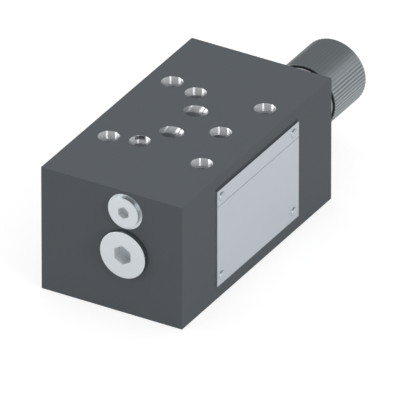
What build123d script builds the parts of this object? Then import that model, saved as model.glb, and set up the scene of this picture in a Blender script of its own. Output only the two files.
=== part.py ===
"""Sandwich-plate pressure reducing valve with a rotary adjusting knob.

Row frame, millimetres: the origin is the centre of the lower mounting face, +Z points to the upper
mounting face, +Y runs along the spool towards the knob and +X towards the side with the data plate.
"""
from build123d import *
from math import cos, pi, sin, tan
import os

os.makedirs("parts", exist_ok=True)

# Housing block and its mounting pattern (size 10 interface, five ports)
BODY_W = 69.5
BODY_D = 128.0
BODY_H = 60.0
BOLT_DX = 46.0
BOLT_DY = 54.0
BOLT_R = 3.3
PORT_R = 4.8
BOLT_RECESS_R = PORT_R
BOLT_RECESS_DEPTH = 4.0
FRONT_Y = -BODY_D / 2
REAR_Y = BODY_D / 2
HALF_W = BODY_W / 2

# Port centres on the faces
TANK_X = -9.5
TANK_Y = 23.8
PRESSURE_X = 16.7
WORK_X = 1.6
WORK_Y = 10.3
WORK_TOP_X = -1.55
ELBOW_X = -18.9
MOUTH_DEPTH = 5.0
UPPER_MOUTH_DEPTH = 4.0
PRESSURE_DRILL_R = 4.0
POCKET_W = 3.7
POCKET_L = 4.6
POCKET_H = 1.8
POCKET_ROOF = 0.3

# Spool line
AXIS_X = 7.0
AXIS_Z = BODY_H / 2
SPOOL_R = 6.97
BORE_R = 7.0
ANNULUS_R = 9.5
WAIST_R = 4.5
ANNULUS_W = 5.0
RETURN_Y = -16.0
REDUCED_Y = 0.0
INLET_Y = 12.5
SPOOL_START_Y = FRONT_Y + 14.0
SPOOL_END_Y = 24.0
SPOOL_STROKE = 3.5
CONTROL_OPENING = 2.5
CONTROL_OVERLAP = 0.5
NOTCH_R = 1.0
NOTCH_DEPTH = 0.9
ORIFICE_R = 1.2
CHAMBER_R = 9.0
CHAMBER_Y = 22.0
RUNNING_GAP = 0.05

# Spring pack
WIRE_R = 1.2
COIL_R = 6.8
COIL_TURNS = 6.5
SPRING_FRONT_Y = SPOOL_END_Y + 3.0
SPRING_REAR_Y = REAR_Y - 7.0
SEAT_R = 8.6
SEAT_T = 4.0
SEAT_HUB = 2.5

# Adjuster
THREAD_R = 12.0
THREAD_Y = REAR_Y - 24.0
SPIGOT_Y = REAR_Y - 18.0
UNDERCUT_R = 11.0
UNDERCUT_W = 2.0
FLANGE_AF = 30.0
FLANGE_T = 8.0
BEVEL_R = 3.0
BEVEL_Y = 1.7
SLEEVE_SEAL_W = 2.4
NECK_R = 14.7
NECK_END_Y = REAR_Y + 23.5
JOURNAL_R = 8.0
JOURNAL_END_Y = REAR_Y + 37.0
PISTON_R = 6.95
PISTON_REAR_Y = REAR_Y + 12.0
PISTON_GROOVE_LEAD = 5.0
PISTON_GROOVE_W = 2.6
PISTON_GROOVE_DEPTH = 1.55
SPINDLE_R = 4.94
NOSE_R = 3.5
NOSE_L = 3.5
DRIVE_AF = 8.0
DRIVE_L = 12.2

# Knob
KNOB_R = 15.75
KNOB_START_Y = NECK_END_Y + 1.1
KNOB_L = 27.5
KNOB_WALL = 3.1
KNOB_FRONT_EDGE = 0.4
KNOB_EDGE = 1.0
KNOB_TEETH = 60
TOOTH_DEPTH = 0.42
SCREW_R = 2.0
SCREW_Y = KNOB_START_Y + 5.9
SCREW_LENGTH = 6.5
SCREW_SOCKET = 2.0

# Plugs on the front face
PLUG_R = 11.1
PLUG_PROUD = 2.8
PLUG_THREAD_R = 8.3
PLUG_AF = 8.0
PLUG_SOCKET = 5.2
PLUG_EDGE = 0.2
PLUG_SEAL_T = 1.4
PLUG_SEAL_RIM = 0.7
PLUG_SEAL_W = 1.4
GAUGE_Z = AXIS_Z + 20.4
GAUGE_R = 7.25
GAUGE_PROUD = 1.95
GAUGE_THREAD_R = 4.82
GAUGE_AF = 5.0
GAUGE_SOCKET = 4.0
GAUGE_SEAL_R = 8.4
GAUGE_SEAL_T = 0.5
GAUGE_BORE_Y = FRONT_Y + 10.0

# Data plate on the +X side
PLATE_L = 69.8
PLATE_H = 47.0
PLATE_T = 0.8
PLATE_Y = -0.45
PLATE_Z = 30.1
PLATE_LINE_DROP = 7.7
RIVET_INSET = 4.0
RIVET_HEAD_R = 2.2
RIVET_SHANK_R = 1.2
RIVET_DEPTH = 3.0

# Seals
O_RING_R = 8.0
O_RING_INNER_R = 5.8
O_RING_T = 1.5
RECESS_R = 8.1
SEAL_GAP = 0.03

# Derived stations along the spool line
TOP_Z = BODY_H
CHAMBER_FRONT_Y = SPOOL_START_Y - 3.0
CONTROL_LAND_REAR = REDUCED_Y + ANNULUS_W / 2 - CONTROL_OPENING
CONTROL_LAND_FRONT = CONTROL_LAND_REAR - ANNULUS_W - CONTROL_OVERLAP
FRONT_LAND_REAR = RETURN_Y - 1.5
REAR_LAND_FRONT = INLET_Y + 0.5
SEAT_REAR_Y = SPRING_REAR_Y + SEAT_T
PISTON_FRONT_Y = SEAT_REAR_Y + NOSE_L
DRIVE_START_Y = JOURNAL_END_Y - 0.5
KNOB_END_Y = KNOB_START_Y + KNOB_L
KNOB_POCKET_END_Y = KNOB_END_Y - KNOB_WALL
CONTROL_Y = CHAMBER_FRONT_Y + 1.5
SLEEVE_SEAL_R = THREAD_R + SLEEVE_SEAL_W
PLUG_SEAL_OUTER = PLUG_R - PLUG_SEAL_RIM
PLUG_SEAL_INNER = PLUG_SEAL_OUTER - PLUG_SEAL_W


def along_y(y, x=AXIS_X, z=AXIS_Z):
    """Return a plane at station y that faces +Y, with its own X along the row's +X."""
    return Plane(origin=(x, y, z), x_dir=(1, 0, 0), z_dir=(0, 1, 0))


def rod(y_start, y_end, radius, mode=Mode.ADD, x=AXIS_X, z=AXIS_Z):
    """Add or cut a round bar along Y between two stations."""
    with BuildSketch(along_y(y_start, x, z)) as section:
        Circle(radius)
    extrude(section.sketch, amount=y_end - y_start, mode=mode)


def tube(y_start, y_end, outer, inner, x=AXIS_X, z=AXIS_Z):
    """Add a ring along Y between two stations."""
    with BuildSketch(along_y(y_start, x, z)) as section:
        Circle(outer)
        Circle(inner, mode=Mode.SUBTRACT)
    extrude(section.sketch, amount=y_end - y_start)


def hex_prism(y_start, y_end, across_flats, mode=Mode.ADD, z=AXIS_Z):
    """Add or cut a hexagon along Y, with a corner at the top."""
    with BuildSketch(along_y(y_start, AXIS_X, z)) as section:
        RegularPolygon(across_flats / 2, 6, major_radius=False, rotation=90.0)
    extrude(section.sketch, amount=y_end - y_start, mode=mode)


def groove(y_start, width, outer, floor):
    """Cut a ring-shaped groove down to its floor radius."""
    with BuildSketch(along_y(y_start)) as section:
        Circle(outer)
        Circle(floor, mode=Mode.SUBTRACT)
    extrude(section.sketch, amount=width, mode=Mode.SUBTRACT)


def drilling(start, end, radius, overrun=0.0):
    """Cut a straight drilling from one point to another, with an overrun past its end."""
    reach = Vector(*end) - Vector(*start)
    with BuildSketch(Plane(origin=start, z_dir=reach.normalized())) as section:
        Circle(radius)
    extrude(section.sketch, amount=reach.length + overrun, mode=Mode.SUBTRACT)


def point_beyond(start, end, amount):
    """Return the point that lies the given amount before start on the line towards end."""
    reach = (Vector(*end) - Vector(*start)).normalized()
    spot = Vector(*start) - reach * amount
    return (spot.X, spot.Y, spot.Z)


def turned(points, mode=Mode.ADD):
    """Revolve a closed outline, given as (radius, station) pairs, about the spool line."""
    with BuildSketch(Plane(origin=(AXIS_X, 0, AXIS_Z), x_dir=(1, 0, 0), z_dir=(0, 0, 1))) as section:
        with BuildLine():
            Polyline(*points, close=True)
        make_face()
    revolve(section.sketch, axis=Axis((AXIS_X, 0, AXIS_Z), (0, 1, 0)), mode=mode)


BOLT_SPOTS = [(sx * BOLT_DX / 2, sy * BOLT_DY / 2) for sx in (-1, 1) for sy in (-1, 1)]
SEAL_SPOTS = {
    "p": (PRESSURE_X, 0.0),
    "a": (WORK_X, -WORK_Y),
    "b": (WORK_X, WORK_Y),
    "t": (TANK_X, -TANK_Y),
    "t1": (TANK_X, TANK_Y),
}
RIVET_SPOTS = [
    (PLATE_Y + sy * (PLATE_L / 2 - RIVET_INSET), PLATE_Z + sz * (PLATE_H / 2 - RIVET_INSET))
    for sy in (-1, 1)
    for sz in (-1, 1)
]

# Housing
with BuildPart() as housing:
    Box(BODY_W, BODY_D, BODY_H, align=(Align.CENTER, Align.CENTER, Align.MIN))

    # Bolt holes with their shallow recesses, and the two return ports
    with BuildSketch():
        with Locations(*BOLT_SPOTS):
            Circle(BOLT_R)
        with Locations((TANK_X, -TANK_Y), (TANK_X, TANK_Y)):
            Circle(PORT_R)
    extrude(amount=TOP_Z, mode=Mode.SUBTRACT)
    with BuildSketch(Plane.XY.offset(TOP_Z - BOLT_RECESS_DEPTH)):
        with Locations(*BOLT_SPOTS):
            Circle(BOLT_RECESS_R)
    extrude(amount=BOLT_RECESS_DEPTH, mode=Mode.SUBTRACT)

    # Seal recesses and straight mouths on the lower face
    with BuildSketch():
        with Locations(*SEAL_SPOTS.values()):
            Circle(RECESS_R)
    extrude(amount=O_RING_T, mode=Mode.SUBTRACT)
    with BuildSketch():
        with Locations(SEAL_SPOTS["p"], SEAL_SPOTS["a"], SEAL_SPOTS["b"]):
            Circle(PORT_R)
    extrude(amount=MOUTH_DEPTH + 2.0, mode=Mode.SUBTRACT)

    # Consumer passages: slanting drillings that pass beside the spool bore
    for side in (-1, 1):
        elbow = (ELBOW_X, side * WORK_Y, TOP_Z / 2)
        upper = (WORK_TOP_X, side * WORK_Y, TOP_Z)
        lower = (WORK_X, side * WORK_Y, MOUTH_DEPTH)
        drilling(point_beyond(upper, elbow, 4.0), elbow, PORT_R, overrun=5.5)
        drilling(lower, elbow, PORT_R - 0.3, overrun=1.0)

    # Spool bore, its annuli, the spring chamber and the two threaded bores
    rod(CHAMBER_FRONT_Y, CHAMBER_Y, BORE_R, Mode.SUBTRACT)
    rod(FRONT_Y, CHAMBER_FRONT_Y + 0.5, PLUG_THREAD_R + SEAL_GAP, Mode.SUBTRACT)
    for station in (RETURN_Y, REDUCED_Y, INLET_Y):
        rod(station - ANNULUS_W / 2, station + ANNULUS_W / 2, ANNULUS_R, Mode.SUBTRACT)
    rod(CHAMBER_Y, THREAD_Y, CHAMBER_R, Mode.SUBTRACT)
    rod(THREAD_Y, REAR_Y, THREAD_R, Mode.SUBTRACT)
    rod(REAR_Y - O_RING_T, REAR_Y, SLEEVE_SEAL_R, Mode.SUBTRACT)

    # Pressure passages: reduced pressure to the top, inlet from below
    reduced = (AXIS_X + 2.6, REDUCED_Y, AXIS_Z + 8.6)
    with BuildSketch(Plane.XY.offset(TOP_Z - UPPER_MOUTH_DEPTH)):
        with Locations(SEAL_SPOTS["p"]):
            Circle(PORT_R)
    extrude(amount=UPPER_MOUTH_DEPTH, mode=Mode.SUBTRACT)
    drilling((PRESSURE_X, 0, TOP_Z - UPPER_MOUTH_DEPTH + 1.0), reduced, PRESSURE_DRILL_R)
    drilling((PRESSURE_X, 0, MOUTH_DEPTH + 2.0), (AXIS_X + 3.0, INLET_Y, AXIS_Z - 8.0), PORT_R - 1.3)

    # Cored links from the return ports to their annulus and to the spring chamber
    drilling((TANK_X, -TANK_Y + 3.0, AXIS_Z), (0.0, RETURN_Y, AXIS_Z), 2.4)
    drilling((TANK_X, TANK_Y + 1.2, AXIS_Z), (0.0, TANK_Y + 1.2, AXIS_Z), 2.0)

    # Relief pocket just under the rim of the front return port
    with Locations((TANK_X - 2.1, -TANK_Y + 5.0, TOP_Z - POCKET_ROOF - POCKET_H / 2)):
        Box(POCKET_W, POCKET_L, POCKET_H, mode=Mode.SUBTRACT)

    # Gauge bore, its passage to the reduced pressure, and the control drilling
    rod(FRONT_Y, GAUGE_BORE_Y, GAUGE_THREAD_R + SEAL_GAP, Mode.SUBTRACT, z=GAUGE_Z)
    drilling((AXIS_X, GAUGE_BORE_Y, GAUGE_Z), (AXIS_X + 4.0, 0.0, GAUGE_Z), 2.0)
    drilling((AXIS_X, CONTROL_Y, GAUGE_Z), (AXIS_X, CONTROL_Y, AXIS_Z + 5.0), ORIFICE_R + RUNNING_GAP)

    # Rivet holes for the data plate
    with BuildSketch(Plane.YZ.offset(HALF_W - RIVET_DEPTH)):
        with Locations(*RIVET_SPOTS):
            Circle(RIVET_SHANK_R + SEAL_GAP)
    extrude(amount=RIVET_DEPTH, mode=Mode.SUBTRACT)
housing.part.label = "housing"
export_step(housing.part, "parts/housing.step")

# Spool
with BuildPart() as spool:
    turned([
        (0.0, SPOOL_START_Y),
        (SPOOL_R - 1.0, SPOOL_START_Y),
        (SPOOL_R, SPOOL_START_Y + 1.0),
        (SPOOL_R, FRONT_LAND_REAR),
        (WAIST_R, FRONT_LAND_REAR),
        (WAIST_R, CONTROL_LAND_FRONT),
        (SPOOL_R, CONTROL_LAND_FRONT),
        (SPOOL_R, CONTROL_LAND_REAR),
        (WAIST_R, CONTROL_LAND_REAR),
        (WAIST_R, REAR_LAND_FRONT),
        (SPOOL_R, REAR_LAND_FRONT),
        (SPOOL_R, SPOOL_END_Y),
        (WAIST_R, SPOOL_END_Y),
        (WAIST_R, SPOOL_END_Y + 2.0),
        (0.0, SPOOL_END_Y + 2.0),
    ])
    for step in (6.0, 14.0, 22.0):
        groove(SPOOL_START_Y + step, 0.8, SPOOL_R + 1.0, SPOOL_R - 0.4)
    # Metering notches on both edges of the control land
    for edge_y in (CONTROL_LAND_FRONT, CONTROL_LAND_REAR):
        with BuildSketch(Plane(origin=(AXIS_X, edge_y, AXIS_Z), x_dir=(0, 1, 0), z_dir=(0, 0, 1))
                         .offset(SPOOL_R - NOTCH_DEPTH)) as notch:
            Circle(NOTCH_R)
        cutter = extrude(notch.sketch, amount=2.0, mode=Mode.PRIVATE)
        for quarter in range(4):
            add(cutter.rotate(Axis((AXIS_X, 0, AXIS_Z), (0, 1, 0)), 90.0 * quarter), mode=Mode.SUBTRACT)
spool.part.label = "spool"
export_step(spool.part, "parts/spool.step")

# Spring plate on the spool's rear end
with BuildPart() as spool_spring_plate:
    rod(SPOOL_END_Y, SPRING_FRONT_Y, SEAT_R)
    rod(SPRING_FRONT_Y, SPRING_FRONT_Y + SEAT_HUB, COIL_R - WIRE_R - 0.25)
    rod(SPOOL_END_Y, SPOOL_END_Y + 2.1, WAIST_R + RUNNING_GAP, Mode.SUBTRACT)
spool_spring_plate.part.label = "spool_spring_plate"
export_step(spool_spring_plate.part, "parts/spool_spring_plate.step")

# Compression spring with ground ends
SPRING_LENGTH = SPRING_REAR_Y - SPRING_FRONT_Y
COIL_PITCH = SPRING_LENGTH / COIL_TURNS
with BuildPart() as compression_spring:
    with BuildLine():
        coil = Helix(COIL_PITCH, SPRING_LENGTH, COIL_R, center=(AXIS_X, SPRING_FRONT_Y, AXIS_Z),
                     direction=(0, 1, 0))
    with BuildSketch(Plane(origin=coil @ 0, z_dir=coil % 0)):
        RegularPolygon(WIRE_R, 6)
    sweep(is_frenet=True)
    with BuildSketch(along_y(SPRING_FRONT_Y + 0.02)):
        Circle(COIL_R + 3 * WIRE_R)
    extrude(amount=SPRING_LENGTH - 0.04, mode=Mode.INTERSECT)
compression_spring.part.label = "compression_spring"
export_step(compression_spring.part, "parts/compression_spring.step")

# Spring seat on the adjuster's side
with BuildPart() as adjuster_spring_seat:
    rod(SPRING_REAR_Y, SEAT_REAR_Y, SEAT_R)
    rod(SPRING_REAR_Y - SEAT_HUB, SPRING_REAR_Y, COIL_R - WIRE_R - 0.25)
adjuster_spring_seat.part.label = "adjuster_spring_seat"
export_step(adjuster_spring_seat.part, "parts/adjuster_spring_seat.step")

# Adjuster sleeve: threaded spigot, hexagon, neck and journal
with BuildPart() as adjuster_sleeve:
    hex_prism(REAR_Y, REAR_Y + FLANGE_T, FLANGE_AF)
    turned([
        (0.0, REAR_Y),
        (FLANGE_AF / 2, REAR_Y),
        (FLANGE_AF / 2 + BEVEL_R, REAR_Y + BEVEL_Y),
        (FLANGE_AF / 2 + BEVEL_R, REAR_Y + FLANGE_T - BEVEL_Y),
        (FLANGE_AF / 2, REAR_Y + FLANGE_T),
        (0.0, REAR_Y + FLANGE_T),
    ], Mode.INTERSECT)
    rod(SPIGOT_Y, REAR_Y, THREAD_R - SEAL_GAP)
    chamfer(adjuster_sleeve.edges().group_by(Axis.Y)[0], 0.8)
    groove(REAR_Y - UNDERCUT_W - O_RING_T, UNDERCUT_W, THREAD_R + 1.0, UNDERCUT_R)
    rod(REAR_Y + FLANGE_T, NECK_END_Y, NECK_R)
    rod(NECK_END_Y, JOURNAL_END_Y, JOURNAL_R)
    rod(SPIGOT_Y, REAR_Y, CHAMBER_R, Mode.SUBTRACT)
    rod(REAR_Y, PISTON_REAR_Y, PISTON_R + RUNNING_GAP, Mode.SUBTRACT)
    rod(PISTON_REAR_Y, JOURNAL_END_Y, SPINDLE_R + RUNNING_GAP, Mode.SUBTRACT)
    groove(SCREW_Y - SCREW_R - 0.4, 2 * SCREW_R + 0.8, JOURNAL_R + 1.0, JOURNAL_R - 1.2)
adjuster_sleeve.part.label = "adjuster_sleeve"
export_step(adjuster_sleeve.part, "parts/adjuster_sleeve.step")

# Face seal under the hexagon
with BuildPart() as adjuster_sleeve_seal:
    tube(REAR_Y - O_RING_T, REAR_Y, SLEEVE_SEAL_R - SEAL_GAP, THREAD_R + SEAL_GAP)
adjuster_sleeve_seal.part.label = "adjuster_sleeve_seal"
export_step(adjuster_sleeve_seal.part, "parts/adjuster_sleeve_seal.step")

# Adjusting spindle: nose, sealed piston, thread and hexagonal drive
GROOVE_Y = PISTON_REAR_Y - PISTON_GROOVE_LEAD
GROOVE_R = PISTON_R - PISTON_GROOVE_DEPTH
with BuildPart() as adjusting_spindle:
    rod(SEAT_REAR_Y, PISTON_FRONT_Y, NOSE_R)
    rod(PISTON_FRONT_Y, PISTON_REAR_Y, PISTON_R)
    rod(PISTON_REAR_Y, DRIVE_START_Y, SPINDLE_R)
    hex_prism(DRIVE_START_Y, DRIVE_START_Y + DRIVE_L, DRIVE_AF)
    groove(GROOVE_Y, PISTON_GROOVE_W, PISTON_R + 1.0, GROOVE_R)
adjusting_spindle.part.label = "adjusting_spindle"
export_step(adjusting_spindle.part, "parts/adjusting_spindle.step")

# Piston seal on the spindle
with BuildPart() as spindle_o_ring:
    tube(GROOVE_Y, GROOVE_Y + PISTON_GROOVE_W, PISTON_R + 0.02, GROOVE_R + SEAL_GAP)
    chamfer(spindle_o_ring.edges(), 0.5)
spindle_o_ring.part.label = "spindle_o_ring"
export_step(spindle_o_ring.part, "parts/spindle_o_ring.step")

# Rotary knob: serrated grip with bevelled ends, bored for the journal and the drive
with BuildPart() as rotary_knob:
    with BuildSketch(along_y(KNOB_START_Y)):
        with BuildLine():
            Polyline(*[
                ((KNOB_R - (i % 2) * TOOTH_DEPTH) * cos(i * pi / KNOB_TEETH),
                 (KNOB_R - (i % 2) * TOOTH_DEPTH) * sin(i * pi / KNOB_TEETH))
                for i in range(2 * KNOB_TEETH)
            ], close=True)
        make_face()
    extrude(amount=KNOB_L)
    turned([
        (0.0, KNOB_START_Y),
        (KNOB_R - KNOB_FRONT_EDGE, KNOB_START_Y),
        (KNOB_R + 1.0, KNOB_START_Y + KNOB_FRONT_EDGE + 1.0),
        (KNOB_R + 1.0, KNOB_END_Y - KNOB_EDGE - 1.0),
        (KNOB_R - KNOB_EDGE, KNOB_END_Y),
        (0.0, KNOB_END_Y),
    ], Mode.INTERSECT)
    rod(KNOB_START_Y, JOURNAL_END_Y, JOURNAL_R + RUNNING_GAP, Mode.SUBTRACT)
    hex_prism(JOURNAL_END_Y, KNOB_POCKET_END_Y, DRIVE_AF + 0.2, Mode.SUBTRACT)
    with BuildSketch(Plane(origin=(AXIS_X, SCREW_Y, AXIS_Z), x_dir=(0, 1, 0), z_dir=(-1, 0, 0))):
        Circle(SCREW_R + SEAL_GAP)
    extrude(amount=KNOB_R + 1.0, mode=Mode.SUBTRACT)
    with BuildSketch(Plane(origin=(AXIS_X, SCREW_Y, AXIS_Z), x_dir=(1, 0, 0), z_dir=(0, 0, -1))):
        Circle(SCREW_R + SEAL_GAP)
    extrude(amount=KNOB_R + 1.0, mode=Mode.SUBTRACT)
rotary_knob.part.label = "rotary_knob"
export_step(rotary_knob.part, "parts/rotary_knob.step")

# Two set screws that run in the journal's groove
SCREW_TIP = JOURNAL_R - 0.9
with BuildPart() as knob_set_screws:
    for x_dir, z_dir in (((0, 1, 0), (-1, 0, 0)), ((1, 0, 0), (0, 0, -1))):
        tip = Plane(origin=(AXIS_X, SCREW_Y, AXIS_Z), x_dir=x_dir, z_dir=z_dir).offset(SCREW_TIP)
        with BuildSketch(tip):
            Circle(SCREW_R)
        extrude(amount=SCREW_LENGTH)
        with BuildSketch(tip.offset(SCREW_LENGTH - SCREW_SOCKET)):
            RegularPolygon(1.0, 6, major_radius=False)
        extrude(amount=SCREW_SOCKET, mode=Mode.SUBTRACT)
knob_set_screws.part.label = "knob_set_screws"
export_step(knob_set_screws.part, "parts/knob_set_screws.step")

# Screw plug that closes the spool bore
PLUG_FACE_Y = FRONT_Y - PLUG_PROUD
with BuildPart() as bore_plug:
    rod(PLUG_FACE_Y, FRONT_Y, PLUG_R)
    chamfer(bore_plug.edges().group_by(Axis.Y)[0], PLUG_EDGE)
    rod(FRONT_Y, CHAMBER_FRONT_Y, PLUG_THREAD_R)
    chamfer(bore_plug.edges().group_by(Axis.Y)[-1], 0.8)
    rod(CHAMBER_FRONT_Y, SPOOL_START_Y, BORE_R - 2.0)
    hex_prism(PLUG_FACE_Y, PLUG_FACE_Y + PLUG_SOCKET, PLUG_AF, Mode.SUBTRACT)
    groove(FRONT_Y - PLUG_SEAL_T, PLUG_SEAL_T, PLUG_SEAL_OUTER, PLUG_SEAL_INNER)
bore_plug.part.label = "bore_plug"
export_step(bore_plug.part, "parts/bore_plug.step")

# Captive seal in the plug's underside
with BuildPart() as bore_plug_seal:
    tube(FRONT_Y - PLUG_SEAL_T, FRONT_Y, PLUG_SEAL_OUTER - SEAL_GAP, PLUG_SEAL_INNER + SEAL_GAP)
bore_plug_seal.part.label = "bore_plug_seal"
export_step(bore_plug_seal.part, "parts/bore_plug_seal.step")

# Gauge port plug and its seal washer
GAUGE_FACE_Y = FRONT_Y - GAUGE_PROUD
with BuildPart() as gauge_port_plug:
    rod(GAUGE_FACE_Y, FRONT_Y - GAUGE_SEAL_T, GAUGE_R, z=GAUGE_Z)
    chamfer(gauge_port_plug.edges().group_by(Axis.Y)[0], PLUG_EDGE)
    rod(FRONT_Y - GAUGE_SEAL_T, GAUGE_BORE_Y - 1.0, GAUGE_THREAD_R, z=GAUGE_Z)
    hex_prism(GAUGE_FACE_Y, GAUGE_FACE_Y + GAUGE_SOCKET, GAUGE_AF, Mode.SUBTRACT, z=GAUGE_Z)
gauge_port_plug.part.label = "gauge_port_plug"
export_step(gauge_port_plug.part, "parts/gauge_port_plug.step")

with BuildPart() as gauge_port_seal:
    tube(FRONT_Y - GAUGE_SEAL_T, FRONT_Y, GAUGE_SEAL_R, GAUGE_THREAD_R + SEAL_GAP, z=GAUGE_Z)
gauge_port_seal.part.label = "gauge_port_seal"
export_step(gauge_port_seal.part, "parts/gauge_port_seal.step")

# Control orifice between the gauge passage and the chamber before the spool
with BuildPart() as control_orifice:
    with BuildSketch(Plane.XY.offset(AXIS_Z + 12.0)):
        with Locations((AXIS_X, CONTROL_Y)):
            Circle(ORIFICE_R)
            Circle(0.4, mode=Mode.SUBTRACT)
    extrude(amount=4.0)
control_orifice.part.label = "control_orifice"
export_step(control_orifice.part, "parts/control_orifice.step")

# Data plate with its scored line, and its four rivets
PLATE_TOP_Z = PLATE_Z + PLATE_H / 2
with BuildPart() as nameplate:
    with BuildSketch(Plane.YZ.offset(HALF_W)):
        with Locations((PLATE_Y, PLATE_Z)):
            Rectangle(PLATE_L, PLATE_H)
        with Locations(*RIVET_SPOTS):
            Circle(RIVET_SHANK_R + RUNNING_GAP, mode=Mode.SUBTRACT)
    extrude(amount=PLATE_T)
    with BuildSketch(Plane.YZ.offset(HALF_W + PLATE_T - 0.15)):
        with Locations((PLATE_Y, PLATE_TOP_Z - PLATE_LINE_DROP)):
            Rectangle(PLATE_L, 0.35)
    extrude(amount=0.15, mode=Mode.SUBTRACT)
nameplate.part.label = "nameplate"
export_step(nameplate.part, "parts/nameplate.step")

with BuildPart() as nameplate_rivets:
    with BuildSketch(Plane.YZ.offset(HALF_W + PLATE_T)):
        with Locations(*RIVET_SPOTS):
            Circle(RIVET_HEAD_R)
    extrude(amount=0.9)
    chamfer(nameplate_rivets.edges().group_by(Axis.X)[-1], 0.5)
    with BuildSketch(Plane.YZ.offset(HALF_W - RIVET_DEPTH + 0.5)):
        with Locations(*RIVET_SPOTS):
            Circle(RIVET_SHANK_R)
    extrude(amount=RIVET_DEPTH - 0.5 + PLATE_T)
nameplate_rivets.part.label = "nameplate_rivets"
export_step(nameplate_rivets.part, "parts/nameplate_rivets.step")


def squeezed_ring(spot):
    """Add a port seal as it lies when clamped, flush with the lower face."""
    with BuildSketch() as section:
        with Locations(spot):
            Circle(O_RING_R)
            Circle(O_RING_INNER_R, mode=Mode.SUBTRACT)
    extrude(section.sketch, amount=O_RING_T)


# Port seals on the lower face
with BuildPart() as port_o_ring_p:
    squeezed_ring(SEAL_SPOTS["p"])
    chamfer(port_o_ring_p.edges(), 0.4)
port_o_ring_p.part.label = "port_o_ring_p"
export_step(port_o_ring_p.part, "parts/port_o_ring_p.step")

with BuildPart() as port_o_ring_a:
    squeezed_ring(SEAL_SPOTS["a"])
    chamfer(port_o_ring_a.edges(), 0.4)
port_o_ring_a.part.label = "port_o_ring_a"
export_step(port_o_ring_a.part, "parts/port_o_ring_a.step")

with BuildPart() as port_o_ring_b:
    squeezed_ring(SEAL_SPOTS["b"])
    chamfer(port_o_ring_b.edges(), 0.4)
port_o_ring_b.part.label = "port_o_ring_b"
export_step(port_o_ring_b.part, "parts/port_o_ring_b.step")

with BuildPart() as port_o_ring_t:
    squeezed_ring(SEAL_SPOTS["t"])
    chamfer(port_o_ring_t.edges(), 0.4)
port_o_ring_t.part.label = "port_o_ring_t"
export_step(port_o_ring_t.part, "parts/port_o_ring_t.step")

with BuildPart() as port_o_ring_t1:
    squeezed_ring(SEAL_SPOTS["t1"])
    chamfer(port_o_ring_t1.edges(), 0.4)
port_o_ring_t1.part.label = "port_o_ring_t1"
export_step(port_o_ring_t1.part, "parts/port_o_ring_t1.step")
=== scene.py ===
"""Sandwich-plate pressure reducing valve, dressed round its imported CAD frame.

Units are metres in the row frame: the origin is the centre of the lower mounting face, +Z points to
the upper mounting face, +Y runs along the spool towards the knob and +X towards the data plate.
Sizes in the classes below are in millimetres in the same frame, and sizes of a finish in metres. The
block's end faces stand at HALF_LENGTH on either side.
"""

import logging
import math
from collections.abc import Iterable, Sequence
from dataclasses import dataclass, field
from enum import Enum
from functools import reduce

import bpy
import numpy as np
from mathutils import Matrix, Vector

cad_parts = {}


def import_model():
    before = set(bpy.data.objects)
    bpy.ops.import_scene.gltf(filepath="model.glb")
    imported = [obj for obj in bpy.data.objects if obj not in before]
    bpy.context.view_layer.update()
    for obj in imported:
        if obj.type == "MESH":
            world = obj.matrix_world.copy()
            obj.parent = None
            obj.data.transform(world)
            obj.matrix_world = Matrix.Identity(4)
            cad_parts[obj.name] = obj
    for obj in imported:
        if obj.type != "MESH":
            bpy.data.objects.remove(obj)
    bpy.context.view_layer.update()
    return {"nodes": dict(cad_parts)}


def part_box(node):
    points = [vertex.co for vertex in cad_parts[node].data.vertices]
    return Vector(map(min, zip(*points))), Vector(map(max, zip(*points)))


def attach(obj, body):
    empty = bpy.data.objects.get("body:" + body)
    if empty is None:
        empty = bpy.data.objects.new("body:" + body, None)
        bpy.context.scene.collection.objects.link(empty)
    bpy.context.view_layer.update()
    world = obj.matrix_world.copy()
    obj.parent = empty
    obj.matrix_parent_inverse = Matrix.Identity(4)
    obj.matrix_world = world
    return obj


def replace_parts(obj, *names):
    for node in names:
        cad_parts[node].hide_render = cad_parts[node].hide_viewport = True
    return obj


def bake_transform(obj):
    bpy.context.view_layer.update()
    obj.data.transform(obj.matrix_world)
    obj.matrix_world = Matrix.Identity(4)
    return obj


log = logging.getLogger("valve")

MM = 0.001
TURN = 2 * math.pi
CLOUD_SIZE = 9.0 * MM
BLACK = (0.0, 0.0, 0.0)
HALF_LENGTH = 64.0

Triple = tuple[float, float, float]
Colour = Triple
Piece = bpy.types.Object
Socket = bpy.types.NodeSocket


class Sheen(Enum):
    """How tightly a metal surface reflects, as a roughness."""

    GROUND = 0.18
    TURNED = 0.28
    SMOOTH = 0.32
    BRUSHED = 0.36
    PLATED = 0.42


class Grain(Enum):
    """The direction in which a metal's fine marks run, as the noise's scale on each axis."""

    EVEN = (1.0, 1.0, 1.0)
    ALONG_Y = (1.0, 0.03, 1.0)
    ROUND_Y = (0.02, 1.0, 0.02)


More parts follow.
